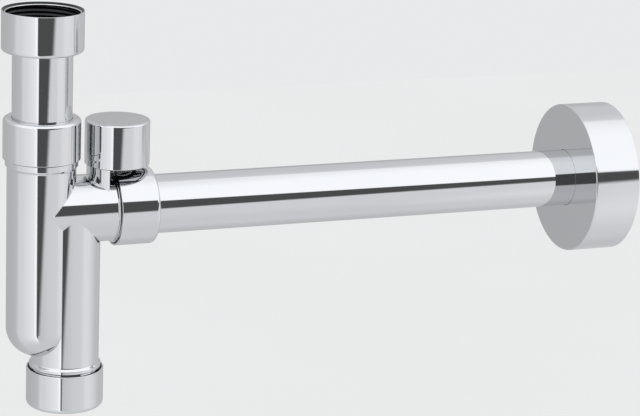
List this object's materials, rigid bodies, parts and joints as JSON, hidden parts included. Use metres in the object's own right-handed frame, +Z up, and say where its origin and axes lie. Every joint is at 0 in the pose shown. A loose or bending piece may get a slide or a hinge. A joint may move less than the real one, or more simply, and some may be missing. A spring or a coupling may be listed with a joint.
{
  "type": "anti-siphon trap",
  "caption": "Chrome basin trap: threaded inlet nut, twin-leg body with screw-off cleaning cap, capped air valve, straight waste pipe and deep wall flange.",
  "frame": {"origin": "centre of the union nut's mouth, the face that meets the basin waste", "axes": "+Z up out of the inlet thread, +X along the waste pipe towards the wall, +Y away from the side that the picture shows"},
  "size_m": [0.3579, 0.0842, 0.218],
  "materials": {
    "chrome": "mirror-polished chrome plate on brass",
    "rubber": "matt black moulded rubber",
    "nylon": "plain white nylon",
    "valve_plastic": "grey moulded plastic"
  },
  "bodies": {
    "union_nut": {"inlet_union_nut": "chrome"},
    "inlet_pipe": {"inlet_pipe": "chrome", "inlet_washer": "rubber"},
    "trap_body": {"trap_body": "chrome", "inlet_seal": "rubber", "outlet_seal": "rubber", "valve_insert": "valve_plastic", "valve_insert_washer": "rubber", "valve_cage": "valve_plastic"},
    "inlet_slip_ring": {"inlet_slip_ring": "nylon"},
    "inlet_compression_nut": {"inlet_compression_nut": "chrome"},
    "outlet_slip_ring": {"outlet_slip_ring": "nylon"},
    "outlet_compression_nut": {"outlet_compression_nut": "chrome"},
    "waste_pipe": {"waste_pipe": "chrome"},
    "wall_flange": {"wall_flange": "chrome", "flange_grip_ring": "rubber"},
    "cleaning_washer": {"cleaning_washer": "rubber"},
    "cleaning_cap": {"cleaning_cap": "chrome"},
    "valve_cap_washer": {"valve_cap_washer": "rubber"},
    "valve_cap": {"valve_cap": "chrome"},
    "valve_disc": {"valve_disc": "valve_plastic", "valve_membrane": "rubber"}
  },
  "joints": [
    {"name": "union_swivel", "type": "hinge", "parent": "union_nut", "child": "inlet_pipe", "pos_m": [0, 0, -0.0182], "axis": [0, 0, 1], "continuous": true},
    {"name": "trap_height", "type": "slide", "parent": "inlet_pipe", "child": "trap_body", "axis": [0, 0, 1], "range_m": [-0.025, 0.022]},
    {"name": "inlet_ring_slide", "type": "slide", "parent": "trap_body", "child": "inlet_slip_ring", "axis": [0, 0, 1], "range_m": [0, 0.0128]},
    {"name": "inlet_nut_turn", "type": "hinge", "parent": "inlet_slip_ring", "child": "inlet_compression_nut", "pos_m": [0, 0, -0.0799], "axis": [0, 0, 1], "range_deg": [0, 1980]},
    {"name": "outlet_ring_slide", "type": "slide", "parent": "trap_body", "child": "outlet_slip_ring", "axis": [1, 0, 0], "range_m": [0, 0.0128]},
    {"name": "outlet_nut_turn", "type": "hinge", "parent": "outlet_slip_ring", "child": "outlet_compression_nut", "pos_m": [0.0382, 0, -0.1088], "axis": [1, 0, 0], "range_deg": [0, 1980]},
    {"name": "waste_pipe_slide", "type": "slide", "parent": "trap_body", "child": "waste_pipe", "axis": [1, 0, 0], "range_m": [-0.0045, 0.01]},
    {"name": "wall_flange_slide", "type": "slide", "parent": "waste_pipe", "child": "wall_flange", "axis": [1, 0, 0], "range_m": [-0.22, 0]},
    {"name": "cleaning_washer_slide", "type": "slide", "parent": "trap_body", "child": "cleaning_washer", "axis": [0, 0, -1], "range_m": [0, 0.0128]},
    {"name": "cleaning_cap_turn", "type": "hinge", "parent": "cleaning_washer", "child": "cleaning_cap", "pos_m": [0.014, 0, -0.1964], "axis": [0, 0, -1], "range_deg": [0, 1980]},
    {"name": "valve_washer_slide", "type": "slide", "parent": "trap_body", "child": "valve_cap_washer", "axis": [0, 0, 1], "range_m": [0, 0.0106]},
    {"name": "valve_cap_turn", "type": "hinge", "parent": "valve_cap_washer", "child": "valve_cap", "pos_m": [0.0415, 0, -0.0847], "axis": [0, 0, 1], "range_deg": [0, 2520]},
    {"name": "valve_disc_lift", "type": "slide", "parent": "trap_body", "child": "valve_disc", "axis": [0, 0, 1], "range_m": [0, 0.003]}
  ],
  "couplings": [
    {"joint": "inlet_ring_slide", "follows": "inlet_nut_turn", "m_per_rad": 0.0003675},
    {"joint": "outlet_ring_slide", "follows": "outlet_nut_turn", "m_per_rad": 0.0003675},
    {"joint": "cleaning_washer_slide", "follows": "cleaning_cap_turn", "m_per_rad": 0.0003675},
    {"joint": "valve_washer_slide", "follows": "valve_cap_turn", "m_per_rad": 0.00023873}
  ]
}
